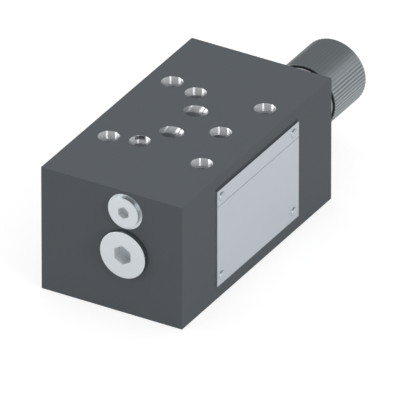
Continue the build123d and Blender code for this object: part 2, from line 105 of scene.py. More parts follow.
@dataclass
class Shading:
    """A node tree that is being put together.

    Args:
        tree: The tree of a material or of the world.
    """

    tree: bpy.types.NodeTree

    def node(self, kind: str, **settings: object) -> bpy.types.Node:
        """Add a node.

        Args:
            kind: The node's type.
            settings: Properties of the node, by name.

        Returns:
            The node.
        """
        node = self.tree.nodes.new(kind)
        for key, value in settings.items():
            setattr(node, key, value)
        return node

    def join(self, source: object, target: Socket) -> None:
        """Link a socket to a target, or write a plain value into it.

        Args:
            source: A socket, a number or a colour.
            target: The socket that takes it.
        """
        if isinstance(source, Socket):
            self.tree.links.new(source, target)
        else:
            target.default_value = source

    def math(self, kind: str, *values: object) -> Socket:
        """Join values with a Math node.

        Args:
            kind: Blender's name of the operation.
            values: Up to three sockets or numbers.

        Returns:
            The node's output socket.
        """
        node = self.node("ShaderNodeMath", operation=kind)
        for value, socket in zip(values, node.inputs):
            self.join(value, socket)
        return node.outputs[0]

    def product(self, *values: object) -> Socket:
        """Multiply sockets and numbers with one another."""
        return reduce(lambda first, second: self.math("MULTIPLY", first, second), values)

    def rest(self, share: object) -> Socket:
        """Give what a share leaves of one."""
        return self.math("SUBTRACT", 1.0, share)

    def rays(self) -> tuple[Socket, Socket]:
        """Give 1 for what the camera sees, and 1 for what metal reflects."""
        path = self.node("ShaderNodeLightPath").outputs
        return self.math("ADD", path["Is Camera Ray"], path["Is Transmission Ray"]), path["Is Glossy Ray"]

    def vector(self, kind: str, first: object, second: object = (0.0, 0.0, 0.0), output: int = 0) -> Socket:
        """Join two vectors with a Vector Math node.

        Args:
            kind: Blender's name of the operation.
            first: A socket or three numbers.
            second: A socket or three numbers, where the operation takes them.
            output: 0 for the vector that comes out, 1 for the number.

        Returns:
            The chosen output socket.
        """
        node = self.node("ShaderNodeVectorMath", operation=kind)
        self.join(first, node.inputs[0])
        self.join(second, node.inputs[1])
        return node.outputs[output]

    def ramp(self, value: object, low: float, high: float) -> Socket:
        """Raise smoothly from 0 at the low value to 1 at the high value.

        Args:
            value: A socket or a number.
            low: The value that gives 0.
            high: The value that gives 1.

        Returns:
            The raised share.
        """
        node = self.node("ShaderNodeMapRange", interpolation_type="SMOOTHSTEP")
        self.join(value, node.inputs["Value"])
        node.inputs["From Min"].default_value = low
        node.inputs["From Max"].default_value = high
        return node.outputs["Result"]

    def blend(self, amount: object, first: object, second: object) -> Socket:
        """Mix two colours.

        Args:
            amount: Share of the second colour.
            first: A colour socket, or a colour.
            second: A colour socket, or a colour.

        Returns:
            The mixed colour.
        """
        node = self.node("ShaderNodeMix", data_type="RGBA")
        self.join(amount, node.inputs["Factor"])
        for colour, socket in ((first, node.inputs["A"]), (second, node.inputs["B"])):
            self.join(colour if isinstance(colour, Socket) else (*colour, 1.0), socket)
        return node.outputs["Result"]


class Material(Shading):
    """A material that is being put together round one Principled shader."""

    def __init__(self, name: str) -> None:
        """Start the material.

        Args:
            name: The material's name.
        """
        self.data = bpy.data.materials.new(name)
        self.data.use_nodes = True
        super().__init__(self.data.node_tree)
        self.shader = self.tree.nodes["Principled BSDF"]

    def set(self, name: str, value: object) -> None:
        """Link a socket or write a value into one of the shader's inputs."""
        self.join((*value, 1.0) if isinstance(value, tuple) else value, self.shader.inputs[name])

    def place(self, kind: str = "Object") -> tuple[Socket, Socket, Socket]:
        """Give the three parts of the Object coordinates, or of the object's own Normal.

        Args:
            kind: Name of the texture coordinate.

        Returns:
            Its X, Y and Z.
        """
        source = self.node("ShaderNodeTexCoord")
        parts = self.node("ShaderNodeSeparateXYZ")
        self.join(source.outputs[kind], parts.inputs[0])
        return tuple(parts.outputs)

    def noise(self, size: float, grain: Grain = Grain.EVEN, detail: float = 2.0) -> Socket:
        """Add a noise on Object coordinates.

        Args:
            size: Size of the noise's features in metres.
            grain: The direction in which the noise is drawn out.
            detail: Octaves of the noise.

        Returns:
            The noise, from 0 to 1.
        """
        place = self.node("ShaderNodeTexCoord")
        mapping = self.node("ShaderNodeMapping")
        mapping.inputs["Scale"].default_value = grain.value
        noise = self.node("ShaderNodeTexNoise")
        noise.inputs["Scale"].default_value = 1.0 / size
        noise.inputs["Detail"].default_value = detail
        self.join(place.outputs["Object"], mapping.inputs["Vector"])
        self.join(mapping.outputs["Vector"], noise.inputs["Vector"])
        return noise.outputs["Fac"]

    def bump(self, height: Socket, strength: float) -> None:
        """Raise the surface by a height pattern.

        Args:
            height: The pattern.
            strength: Strength of the bump.
        """
        node = self.node("ShaderNodeBump")
        node.inputs["Strength"].default_value = strength
        node.inputs["Distance"].default_value = 0.05 * MM
        self.join(height, node.inputs["Height"])
        self.join(node.outputs["Normal"], self.shader.inputs["Normal"])


@dataclass(frozen=True)
class Metal:
    """A bare or plated metal with fine marks and faint clouding, and where side is under one, painted shade on
    faces that don't face along Y.

    Args:
        name: The material's name.
        colour: Linear colour.
        sheen: How tightly it reflects.
        grain: The direction of its fine marks.
        clouding: Share by which the colour darkens in faint clouds.
        side: Share of the colour that is left where the surface doesn't face along Y, as painted shade on
            those faces.
        bare: Share of the surface that is bare metal; the rest is a pale matt film.
        wander: How far the marks move the roughness in all.
    """

    name: str
    colour: Colour
    sheen: Sheen = Sheen.BRUSHED
    grain: Grain = Grain.EVEN
    clouding: float = 0.06
    side: float = 1.0
    bare: float = 1.0
    wander: float = 0.12

    def material(self) -> bpy.types.Material:
        """Build the metal's material.

        Returns:
            The material.
        """
        made = Material(self.name)
        dark = tuple(c * (1.0 - self.clouding) for c in self.colour)
        colour = made.blend(made.noise(CLOUD_SIZE), dark, self.colour)
        # Painted shade: faces that don't face along Y take a darker copy of the colour.
        if self.side < 1.0:
            shade = tuple(c * self.side for c in self.colour)
            along = made.ramp(made.math("ABSOLUTE", made.place("Normal")[1]), 0.3, 0.8)
            colour = made.blend(along, shade, colour)
        made.set("Base Color", colour)
        made.set("Metallic", self.bare)
        marks = made.noise(0.6 * MM, self.grain, 3.0)
        least = self.sheen.value - self.wander / 2
        made.set("Roughness", made.math("MULTIPLY_ADD", marks, self.wander, least))
        made.bump(marks, 0.05)
        return made.data


@dataclass(frozen=True)
class Grip:
    """The knob's satin metal, with softened teeth, painted shade in their roots and duller end faces.

    A tooth's flank turns the normal round the axis; the finish takes off a share of that turn, as worn
    and polished teeth do, and the colour darkens from the crest's radius down to the root's as painted
    shade. Where the knob faces up, more of the flanks' turn is taken off, and painted light takes back
    most of the roots' painted shade. The end face next to the sleeve darkens within its teeth as painted shade
    of the gap.

    Args:
        colour: Linear colour of the crests.
        root: Share of the colour that is left in the roots, as painted shade.
        softening: Share of the flanks' turn that is taken off.
        axis: X and Z of the knob's axis in metres.
        crest: Crest radius in metres.
        depth: Depth of the teeth in metres.
        worn: Share of the flanks' turn that is taken off on top.
        painted_top_light: Share of the roots' painted shade that painted light takes back on top.
        painted_gap_shade: Share of the colour that the painted shade of the gap takes on the end face next to
            the sleeve.
        roughness: The teeth's least roughness.
    """

    colour: Colour
    root: float
    softening: float
    axis: tuple[float, float]
    crest: float
    depth: float
    worn: float = 0.94
    painted_top_light: float = 0.8
    painted_gap_shade: float = 0.85
    roughness: float = 0.27

    def material(self) -> bpy.types.Material:
        """Build the grip's material.

        Returns:
            The material.
        """
        made = Material("knob_metal")
        surface = made.node("ShaderNodeNewGeometry")
        normal = surface.outputs["Normal"]
        off = made.vector("SUBTRACT", surface.outputs["Position"], (self.axis[0], 0.0, self.axis[1]))
        flat = made.vector("MULTIPLY", off, (1.0, 0.0, 1.0))
        across = made.vector("NORMALIZE", made.vector("CROSS_PRODUCT", (0.0, 1.0, 0.0), flat))
        rise = made.math("SUBTRACT", made.place()[2], self.axis[1])
        held = made.ramp(rise, 0.0, 0.8 * self.crest)
        taken = made.math("MULTIPLY_ADD", held, self.softening - self.worn, -self.softening)
        turn = made.product(made.vector("DOT_PRODUCT", normal, across, 1), taken)
        softened = made.vector("ADD", normal, made.vector("MULTIPLY", across, turn))
        made.set("Normal", made.vector("NORMALIZE", softened))
        # Painted shade in the roots: the colour darkens from the crest's radius down to the root's.
        reach = made.ramp(made.vector("LENGTH", flat, output=1), self.crest - self.depth, self.crest)
        along = made.place("Normal")[1]
        end = made.ramp(made.math("ABSOLUTE", along), 0.3, 0.6)
        # Painted shade of the gap: the end face next to the sleeve darkens within its teeth.
        end_gap_mask = made.product(made.rest(made.ramp(along, -0.6, -0.3)), made.rest(reach))
        # Painted light on top: where the knob faces up, the roots keep their full colour.
        top_light_mask = made.product(made.ramp(rise, 0.35 * self.crest, 0.75 * self.crest), self.painted_top_light)
        reach = made.math("MAXIMUM", made.math("MAXIMUM", reach, top_light_mask), end)
        share = made.product(
            made.math("MULTIPLY_ADD", reach, 1.0 - self.root, self.root),
            made.math("MULTIPLY_ADD", made.noise(CLOUD_SIZE), -0.03, 1.0),
            made.math("MULTIPLY_ADD", end_gap_mask, -self.painted_gap_shade, 1.0),
        )
        made.set("Base Color", made.blend(share, BLACK, self.colour))
        made.set("Metallic", 1.0)
        fine = made.math("MULTIPLY_ADD", made.noise(0.5 * MM, detail=3.0), 0.1, self.roughness)
        made.set("Roughness", made.math("MULTIPLY_ADD", end, 0.2, fine))
        return made.data


@dataclass(frozen=True)
class Rubber:
    """A matte black elastomer with a fine skin.

    Args:
        name: The material's name.
        colour: Linear colour.
    """

    name: str = "seal_rubber"
    colour: Colour = (0.015, 0.015, 0.016)

    def material(self) -> bpy.types.Material:
        """Build the elastomer's material.

        Returns:
            The material.
        """
        made = Material(self.name)
        skin_marks = made.noise(0.5 * MM)
        made.set("Base Color", made.blend(skin_marks, self.colour, tuple(1.5 * c for c in self.colour)))
        made.set("Roughness", 0.65)
        made.bump(skin_marks, 0.08)
        return made.data


@dataclass(frozen=True)
class BlockCoat:
    """The block's grey coat, with bare machined walls at the mouths of its holes.

    A point is inside a hole where it lies within the six outer faces. An upright wall there is bare
    down to the mouths' depth, with fine streaks from its tool; what lies deeper takes a pale grey as painted
    light against the holes' shade.
    A painted shadow darkens the coat in a thin band over the ledge that the data plate makes.

    Args:
        half: Half of the block's width, length and height in metres.
        mouth: Depth of the bare walls in metres.
        ledge: The data plate's nearest station, farthest station and upper edge in metres.
        coat: Linear colour of the coat.
        bare: Linear colour of the machined walls.
        deep_painted_light: Linear colour of the floors and of the deeper walls, pale as painted light.
        lean: Share by which the bare walls' normals lean towards the opening, as a tool's fine steps do.
        ledge_shadow: Share by which the painted shadow darkens the coat.
        ledge_shadow_width: Width of the painted shadow's band in metres.
        skin: Depth in metres below which a point counts as inside.
    """

    half: Triple
    mouth: float
    ledge: Triple
    coat: Colour = (0.1297, 0.1455, 0.159)
    bare: Colour = (0.70, 0.72, 0.74)
    deep_painted_light: Colour = (0.42, 0.44, 0.46)
    lean: float = 0.6
    ledge_shadow: float = 0.45
    ledge_shadow_width: float = 1.9 * MM
    skin: float = 0.12 * MM

    def material(self) -> bpy.types.Material:
        """Build the coat with its bare and deep parts.

        Returns:
            The material.
        """
        made = Material("block_coat")
        x, y, z = made.place()
        off = made.math("SUBTRACT", z, self.half[2])
        inside = made.product(*(
            made.math("LESS_THAN", made.math("ABSOLUTE", offset), half - self.skin)
            for offset, half in zip((x, y, off), self.half)
        ))
        near = made.math("GREATER_THAN", made.math("ABSOLUTE", off), self.half[2] - self.mouth)
        upright = made.math("LESS_THAN", made.math("ABSOLUTE", made.place("Normal")[2]), 0.7)
        bare = made.product(near, upright, inside)
        coat = made.blend(made.noise(1.2 * MM, detail=4.0), tuple(0.94 * c for c in self.coat), self.coat)
        # Painted shadow: the coat on the right face darkens in a band just over the data plate's upper edge,
        # fading upwards.
        near_y, far_y, edge = self.ledge
        past = ((x, self.half[0] - 0.1 * MM), (y, near_y - 0.6 * MM), (far_y + 0.3 * MM, y), (z, edge))
        over = made.product(
            made.ramp(z, edge + self.ledge_shadow_width, edge),
            *(made.math("GREATER_THAN", high, low) for high, low in past), self.ledge_shadow,
        )
        coat = made.blend(over, coat, BLACK)
        # Painted light: the floors and deeper walls inside the holes take a pale grey against their shade.
        made.set("Base Color", made.blend(inside, coat, made.blend(bare, self.deep_painted_light, self.bare)))
        made.set("Metallic", made.product(bare, 0.65))
        made.set("Roughness", made.math("MULTIPLY_ADD", bare, -0.40, 0.62))
        lift = made.product(bare, made.math("SIGN", off), self.lean)
        normal = made.node("ShaderNodeNewGeometry").outputs["Normal"]
        leaning = made.vector("ADD", normal, made.vector("MULTIPLY", lift, (0.0, 0.0, 1.0)))
        made.set("Normal", made.vector("NORMALIZE", leaning))
        made.set("Specular IOR Level", 0.2)
        made.set("Anisotropic", 0.9)
        made.set("Tangent", made.vector("ADD", (0.01, 0.02, 1.0)))
        return made.data


def dress(node: Piece, *materials: bpy.types.Material) -> Piece:
    """Give an object its materials.

    Args:
        node: The object.
        materials: One material, or one for each number that the object's faces hold.

    Returns:
        The object.
    """
    if node.data.materials:  # Clearing sets every face's number back.
        node.data.materials.clear()
    for material in materials:
        node.data.materials.append(material)
    return node


def add_object(name: str, data: bpy.types.ID) -> Piece:
    """Put a mesh, a light or a camera into the scene.

    Args:
        name: The object's name.
        data: What it holds.

    Returns:
        The object, at the origin.
    """
    made = bpy.data.objects.new(name, data)
    bpy.context.scene.collection.objects.link(made)
    return made


def make_mesh(name: str, points: np.ndarray, faces: list[np.ndarray], crease: float = 30.0) -> Piece:
    """Put finished points and faces into a mesh object, with its faces pointing outwards.

    Args:
        name: The object's name.
        points: Points in millimetres, one row each.
        faces: Arrays of faces, each with three or four corners a row.
        crease: Edges sharper than this many degrees stay sharp.

    Returns:
        The object, at the origin.
    """
    halves = [f[:, [0, 1, 2]] for f in faces] + [f[:, [0, 2, 3]] for f in faces if f.shape[1] == 4]
    corners = np.concatenate(halves)
    a, b, c = (points[corners[:, i]] for i in range(3))
    if np.einsum("ij,ij->", a, np.cross(b, c)) < 0.0:
        faces = [f[:, ::-1] for f in faces]
    mesh = bpy.data.meshes.new(name)
    mesh.from_pydata((points * MM).tolist(), [], [row for f in faces for row in f.tolist()])
    mesh.shade_smooth()
    mesh.set_sharp_from_angle(angle=math.radians(crease))
    return add_object(name, mesh)


def skin(rows: int, cols: int, ring: bool) -> list[np.ndarray]:
    """Number the faces of a grid whose columns close on themselves.

    Args:
        rows: Number of rows.
        cols: Number of columns.
        ring: True where the last row joins the first, false where a centre point closes each end. The
            two centre points follow the grid.

    Returns:
        Arrays of faces.
    """
    j = np.arange(cols)
    k = (j + 1) % cols
    i = np.arange(rows if ring else rows - 1)[:, None]
    n = (i + 1) % rows
    quads = np.stack([i * cols + j, i * cols + k, n * cols + k, n * cols + j], axis=-1).reshape(-1, 4)
    if ring:
        return [quads]
    last = (rows - 1) * cols
    start = np.stack([k, j, np.full(cols, rows * cols)], axis=-1)
    end = np.stack([last + j, last + k, np.full(cols, rows * cols + 1)], axis=-1)
    return [quads, np.concatenate([start, end])]


def around(count: int) -> np.ndarray:
    """Angles of so many columns, spread evenly round a circle."""
    return np.linspace(0.0, TURN, count, endpoint=False)


@dataclass
class Turned:
    """A solid of revolution about a line along Y, which may hold threads and hexagons.

    Its surface is point = (x + r cos(angle), station, z + r sin(angle)), with r and station given on a
    grid of outline rows and angle columns.

    Args:
        name: The piece's name.
        x: The axis line's X.
        z: The axis line's Z.
        cols: Columns round the piece.
        ring: True where the outline closes on itself round a bore.
    """

    name: str
    x: float
    z: float
    cols: int = 96
    ring: bool = False
    _radii: list[np.ndarray] = field(default_factory=list)
    _stations: list[np.ndarray] = field(default_factory=list)
    _socket_row: int | None = None
    _floor_row: int | None = None

    @property
    def angles(self) -> np.ndarray:
        """Angles of the columns."""
        return around(self.cols)

    def hexagon(self, across_flats: float) -> np.ndarray:
        """Radii of an upright hexagon: half its width over the cosine of the angle off a flat's middle."""
        return across_flats / 2 / np.cos(np.mod(self.angles + math.pi / 6, math.pi / 3) - math.pi / 6)

    def outline(self, corners: Sequence[tuple[float, ...]], base: float = 0.0) -> None:
        """Add round rows along an outline whose corners may be rounded.

        Each corner (radius, station, rounding) becomes an arc that touches both of its sides at the
        rounding's distance from the corner: points of a quadratic curve from side to side. A corner
        without a rounding stays sharp.

        Args:
            corners: The outline's corners.
            base: The station that theirs count from.
        """
        spots = np.array([c[:2] for c in corners])
        rows, t = [], np.linspace(0.0, 1.0, 5)[:, None]
        for i, spot in enumerate(spots):
            if len(corners[i]) < 3:
                rows.append(spot[None])
                continue
            back, ahead = spots[i - 1] - spot, spots[i + 1] - spot
            start = spot + back * corners[i][2] / np.linalg.norm(back)
            end = spot + ahead * corners[i][2] / np.linalg.norm(ahead)
            rows.append((1 - t) ** 2 * start + 2 * t * (1 - t) * spot + t**2 * end)
        radii, stations = np.concatenate(rows).T
        self.rows(radii[:, None], base + stations[:, None])

    def threaded(self, start: float, end: float, crest: float, pitch: float, run_out: float = 0.8) -> None:
        """Add a stretch of right-hand thread, which fades at both ends.

        The depth below the crest follows a triangle wave of (station over pitch plus turn), cut flat at
        crest and root.

        Args:
            start: Station of the first row.
            end: Station of the last row, on either side of the first.
            crest: Crest radius.
            pitch: The thread's pitch.
            run_out: Length over which the thread fades at each end.
        """
        y = np.linspace(start, end, int(8 * abs(end - start) / pitch) + 1)[:, None]
        wave = np.abs(2.0 * np.mod(y / pitch + self.angles / TURN, 1.0) - 1.0)
        depth = 0.6 * pitch * np.clip(1.25 * wave - 0.125, 0.0, 1.0)
        fade = np.clip(np.minimum(abs(y - start), abs(end - y)) / run_out, 0.0, 1.0)
        self.rows(crest - fade * depth, y)

    def rows(self, radii: np.ndarray, stations: np.ndarray) -> None:
        """Add rows whose radius and station change round the piece."""
        self._radii.append(radii + 0.0 * self.angles)
        self._stations.append(stations + 0.0 * self.angles)

    def socket(self, face: float, depth: float, across_flats: float, sense: float = 1.0) -> None:
        """Add a hexagon socket from the face inwards, with a broken edge and a flat bottom.

        The wall's radius is the hexagon's, and opens towards the face by as much as the edge is broken.

        Args:
            face: Station of the face.
            depth: Depth of the hexagon.
            across_flats: Width across flats.
            sense: 1 where the socket goes towards +Y, -1 where it goes the other way.
        """
        self._socket_row = sum(map(len, self._radii))
        flat, edge = self.hexagon(across_flats), 0.05
        down = np.array([0.0, 0.5 * edge, edge, 2.0 * edge, 0.5 * depth, depth])[:, None]
        self._floor_row = self._socket_row + len(down)
        self.rows(flat + np.maximum(edge - down, 0.0), face + sense * down)
        self.rows(flat * np.linspace(0.97, 0.05, 7)[:, None], np.full((7, 1), face + sense * depth))

    def parts(self) -> tuple[np.ndarray, list[np.ndarray]]:
        """Work out the points and the faces.

        Returns:
            Points in millimetres, one row each, and arrays of faces.
        """
        r, y = np.concatenate(self._radii), np.concatenate(self._stations)
        grid = np.stack([self.x + r * np.cos(self.angles), y, self.z + r * np.sin(self.angles)], -1)
        poles = [] if self.ring else [[(self.x, row.mean(), self.z) for row in (y[0], y[-1])]]
        return np.concatenate([grid.reshape(-1, 3), *poles]), skin(*r.shape, self.ring)

    def build(self) -> Piece:
        """Make the mesh.

        A socket's walls take the object's second material, and its floor the third. The faces that close
        the two ends come last, so those of the end without a socket are set back to the first.

        Returns:
            The object.
        """
        piece = make_mesh(self.name, *self.parts())
        if self._socket_row is not None:
            numbers = np.zeros(len(piece.data.polygons), dtype=np.int32)
            numbers[self._socket_row * self.cols:] = 1
            numbers[(self._floor_row - 1) * self.cols:] = 2
            numbers[-2 * self.cols:-self.cols] = 0
            piece.data.polygons.foreach_set("material_index", numbers)
        return piece


def squeezed_ring(name: str, centre: Triple, middle: float, thick: float, wide: float, along_y: bool) -> Piece:
    """Mould a ring seal that lies squeezed in its groove.

    A section point at angle t stands |cos t| and |sin t| to the power 0.7, with their signs, times the
    half sizes off the middle circle. That is an ellipse swollen towards its box, carried round the circle.

    Args:
        name: The piece's name.
        centre: The ring's centre in millimetres.
        middle: Radius of the middle circle.
        thick: Half of the section's radial size.
        wide: Half of the section's size along the axis.
        along_y: True for an axis along Y, false for one along Z.

    Returns:
        The object.
    """
    t, a = around(20)[:, None], around(64)
    out, up = (np.sign(part) * np.abs(part) ** 0.7 for part in (np.cos(t), np.sin(t)))
    r, h = middle + thick * out, wide * up + 0.0 * a
    flat = (r * np.cos(a), h, r * np.sin(a)) if along_y else (r * np.cos(a), r * np.sin(a), h)
    points = np.stack(flat, -1).reshape(-1, 3) + np.array(centre)
    return make_mesh(name, points, skin(len(t), len(a), True), 80.0)


@dataclass
class Assembly:
    """A sub-assembly of the valve.

    Args:
        nodes: The frame's nodes by name.
        x: X of the spool's axis.
        z: Height of the spool's axis.
    """

    nodes: dict[str, Piece]
    x: float = 7.0
    z: float = 30.0


@dataclass
class Block(Assembly):
    """The housing block.

    Args:
        mouth: Depth of its holes' bare walls.
    """

    mouth: float = 4.02

    def build(self) -> None:
        """Dress the housing."""
        low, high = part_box("housing")
        half = tuple((high - low) / 2)
        near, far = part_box("nameplate")
        finish = BlockCoat(half, self.mouth * MM, (near.y, far.y, far.z))
        dress(self.nodes["housing"], finish.material())
        log.info("block: coat, machined mouths and deeper walls")


@dataclass(frozen=True)
class Plug:
    """The sizes of a screw plug.

    Args:
        head: How far its head stands out of the block.
        radius: Radius of its head.
        crest: Crest radius of its thread.
        pitch: Pitch of its thread.
        key: Width across flats of its socket.
        depth: Depth of its socket.
    """

    head: float
    radius: float
    crest: float
    pitch: float
    key: float
    depth: float


@dataclass
class FrontPlugs(Assembly):
    """The two screw plugs on the front face, which close the spool bore and the gauge port.

    Args:
        front: Station of the block's front face.
        rise: Height of the small plug over the large one.
        bore: Sizes of the large plug.
        gauge: Sizes of the small plug.
    """

    front: float = -HALF_LENGTH
    rise: float = 20.4
    bore: Plug = Plug(2.8, 11.1, 8.3, 1.34, 8.0, 5.2)
    gauge: Plug = Plug(1.95, 7.25, 4.82, 1.0, 5.0, 4.0)

    def bore_plug(self) -> Piece:
        """Turn the large plug, from its stop at the spool to its hexagon socket.

        Returns:
            The object.
        """
        size, front = self.bore, self.front
        edge, face = size.radius, -size.head
        piece = Turned("bore_plug_turned", self.x, self.z, 120)
        piece.outline([(0.2, 14.0), (5.0, 14.0, 0.4), (5.0, 11.0), (7.5, 11.0), (size.crest, 10.2)], front)
        piece.threaded(front + 10.0, front + 1.6, size.crest, size.pitch)
        piece.outline([
            (7.2, 1.4), (7.2, 0.1), (7.2, 0.0), (9.0, 0.0, 0.1), (9.0, -1.4, 0.1),
            (10.4, -1.4, 0.1), (10.4, 0.0, 0.1), (edge, 0.0, 0.1), (edge, face, 0.15), (5.0, face),
        ], front)
        piece.socket(front + face, size.depth, size.key)
        return piece.build()

    def gauge_plug(self) -> Piece:
        """Turn the small plug, from its tip to its hexagon socket.

        Returns:
            The object.
        """
        size, front = self.gauge, self.front
        edge, face = size.radius, -size.head
        piece = Turned("gauge_port_plug_turned", self.x, self.z + self.rise)
        piece.outline([(0.2, 9.0), (4.2, 9.0, 0.2), (size.crest, 8.3)], front)
        piece.threaded(front + 8.2, front + 0.8, size.crest, size.pitch)
        piece.outline([
            (4.2, 0.6), (4.2, -0.5, 0.1), (edge, -0.5, 0.15), (edge, face, 0.12), (3.2, face),
        ], front)
        piece.socket(front + face, size.depth, size.key)
        return piece.build()

    def build(self) -> None:
        """Build both plugs and dress their seals."""
        zinc, cloud = (0.84, 0.89, 0.925), 0.03
        plated = Metal("plated_steel", zinc, Sheen.SMOOTH, clouding=cloud).material()
        # Painted shade: the plugs' collars and other faces that don't face along Y take a darker copy of the
        # zinc.
        side_shaded_steel = Metal("steel_painted_side_shade", zinc, Sheen.SMOOTH, clouding=cloud, side=0.45).material()
        # Painted light: the sockets' steel is pale and partly matt so that their walls and floors come out
        # bright, and the walls take a slightly darker copy of it as painted shade.
        matt = Metal("socket_steel_painted_light", (0.93, 0.96, 0.98), Sheen.PLATED, clouding=cloud, side=0.8, bare=0.3)
        pressed = matt.material()
        for piece, node, bottom in (
            (self.bore_plug(), "bore_plug", side_shaded_steel), (self.gauge_plug(), "gauge_port_plug", pressed),
        ):
            dress(piece, side_shaded_steel, pressed, bottom)
            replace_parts(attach(piece, "block"), node)
            log.info("front plugs: %s", piece.name)
        dress(self.nodes["gauge_port_seal"], plated)
        dress(self.nodes["bore_plug_seal"], Rubber("plug_seal_rubber").material())
        brass = Metal("orifice_brass", (0.60, 0.45, 0.20), Sheen.TURNED, Grain.ROUND_Y).material()
        dress(self.nodes["control_orifice"], brass)
        log.info("front plugs: seals and control orifice")


@dataclass
class Adjuster(Assembly):
    """The adjuster: hexagon sleeve, spindle with its seal, knob and set screws.

    Args:
        rear: Station of the block's rear face.
        spigot: Crest radius of the sleeve's thread.
        flats: Width across flats of its hexagon.
        neck: How far the neck reaches from the block. Its radius is 0.3 mm under the flats'.
        end: How far the sleeve reaches from the block.
        journal: Radius of the knob's journal.
        bore: Radius of the piston's bore, 0.05 mm over the piston's own.
        screw: Crest radius of the spindle's thread.
        pitch: Pitch of both threads.
        drive: How far the spindle's thread reaches from the block.
    """

    rear: float = HALF_LENGTH
    spigot: float = 11.97
    flats: float = 30.0
    neck: float = 24.1
    end: float = 37.0
    journal: float = 8.0
    bore: float = 7.0
    screw: float = 4.94
    pitch: float = 1.5
    drive: float = 36.5

    def sleeve(self) -> Piece:
        """Turn the sleeve: threaded spigot, chamfered hexagon, neck, journal and its stepped bore.

        Returns:
            The object.
        """
        rear, neck, end, long = self.rear, self.neck, self.end, 8.0
        crest, wide, pin = self.spigot, self.flats / 2 - 0.3, self.journal
        piece = Turned("adjuster_sleeve_turned", self.x, self.z, 120, ring=True)
        piece.outline([(9.0, -18.0), (11.2, -18.0, 0.1), (crest, -17.2)], rear)
        piece.threaded(rear - 17.0, rear - 3.7, crest, self.pitch)
        piece.outline([(11.0, -3.4), (11.0, -1.6), (crest, -1.5), (crest, 0.0)], rear)
        y = np.concatenate([np.linspace(0.0, 1.7, 8), np.linspace(long - 1.7, long, 8)])[:, None]
        cone = self.flats / 2 + 3.0 * np.minimum(np.minimum(y, long - y) / 1.7, 1.0)
        piece.rows(np.minimum(piece.hexagon(self.flats), cone), rear + y)
        piece.outline([
            (14.9, long), (wide, long), (wide, neck, 0.4), (pin, neck, 0.15), (pin, 27.6, 0.1),
            (6.8, 27.6, 0.1), (6.8, 32.4, 0.1), (pin, 32.4, 0.1), (pin, end, 0.4), (4.99, end, 0.2),
            (4.99, 12.0, 0.1), (self.bore, 12.0, 0.1), (self.bore, 0.0, 0.1), (9.0, 0.0, 0.1), (9.0, -17.99),
        ], rear)
        return piece.build()

    def spindle(self) -> Piece:
        """Turn the spindle: nose, piston with its seal groove, thread and hexagon drive.

        Returns:
            The object.
        """
        rear, drive, long = self.rear, self.rear + self.drive, 12.2
        wide, crest = self.bore - 0.05, self.screw
        piece = Turned("adjusting_spindle_turned", self.x, self.z)
        piece.outline([
            (0.2, -3.0), (3.5, -3.0, 0.5), (3.5, 0.5, 0.1), (wide, 0.5, 0.4), (wide, 7.0, 0.15),
            (5.4, 7.0, 0.15), (5.4, 9.6, 0.15), (wide, 9.6, 0.15), (wide, 12.0, 0.3), (crest, 12.0),
        ], rear)
        piece.threaded(rear + 12.2, drive - 0.6, crest, self.pitch)
        piece.outline([(4.3, -0.4), (4.3, 0.0)], drive)
        y = np.concatenate([np.linspace(0.0, 0.4, 3), np.linspace(long - 0.6, long, 4)])[:, None]
        piece.rows(np.minimum(piece.hexagon(8.0), 4.3 + np.minimum(y, long - y)), drive + y)
        piece.outline([(3.8, long), (0.2, long)], drive)
        return piece.build()

    def spindle_seal(self) -> Piece:
        """Mould the piston's seal: a squared ring, flat where the bore presses it."""
        centre = (self.x, self.rear + 8.3, self.z)
        return squeezed_ring("spindle_seal_ring", centre, 6.2, 0.765, 1.29, along_y=True)

    def set_screws(self) -> Piece:
        """Turn the two set screws, each a threaded stud with a hexagon socket, and lay them in the knob.

        Returns:
            The object.
        """
        stud = Turned("set_screws_turned", 0.0, 0.0, 48)
        stud.outline([(0.1, 7.1), (1.2, 7.1, 0.1), (1.9, 7.8)])
        stud.threaded(8.0, 13.3, 1.98, 0.7, 0.4)
        stud.outline([(1.9, 13.4), (1.7, 13.6), (1.25, 13.6)])
        stud.socket(13.6, 2.0, 2.0, -1.0)
        points, faces = stud.parts()
        side, along, up = points.T
        hole = self.rear + 30.5
        left = np.stack([self.x - along, hole + side, self.z + up], -1)
        under = np.stack([self.x + up, hole + side, self.z - along], -1)
        return make_mesh(stud.name, np.concatenate([left, under]), faces + [f + len(points) for f in faces])

    def build(self) -> None:
        """Build the adjuster and dress its knob."""
        turned = Metal("turned_steel", (0.56, 0.57, 0.59), Sheen.TURNED, Grain.ROUND_Y).material()
        neck = Metal("neck_steel", (0.86, 0.88, 0.90), Sheen.BRUSHED, Grain.ROUND_Y, bare=0.5).material()
        dark = Metal("dark_screw", (0.08, 0.08, 0.085), Sheen.BRUSHED).material()
        rubber = Rubber().material()
        low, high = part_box("rotary_knob")
        centre = ((low.x + high.x) / 2, (low.z + high.z) / 2)
        grip = Grip((0.525, 0.58, 0.606), 0.42, 0.68, centre, (high.x - low.x) / 2, 0.42 * MM)
        for piece, body, slot, node, finish in (
            (self.sleeve(), "block", "plated_steel", "adjuster_sleeve", neck),
            (self.spindle(), "spindle", "plated_steel", "adjusting_spindle", turned),
            (self.spindle_seal(), "spindle", "rubber", "spindle_o_ring", rubber),
            (self.set_screws(), "knob", "dark_steel", "knob_set_screws", dark),
        ):
            dress(piece, finish)
            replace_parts(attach(piece, body), node)
            log.info("adjuster: %s", piece.name)
        dress(self.nodes["rotary_knob"], grip.material())
        dress(self.nodes["adjuster_sleeve_seal"], rubber)
        log.info("adjuster: knob and face seal")


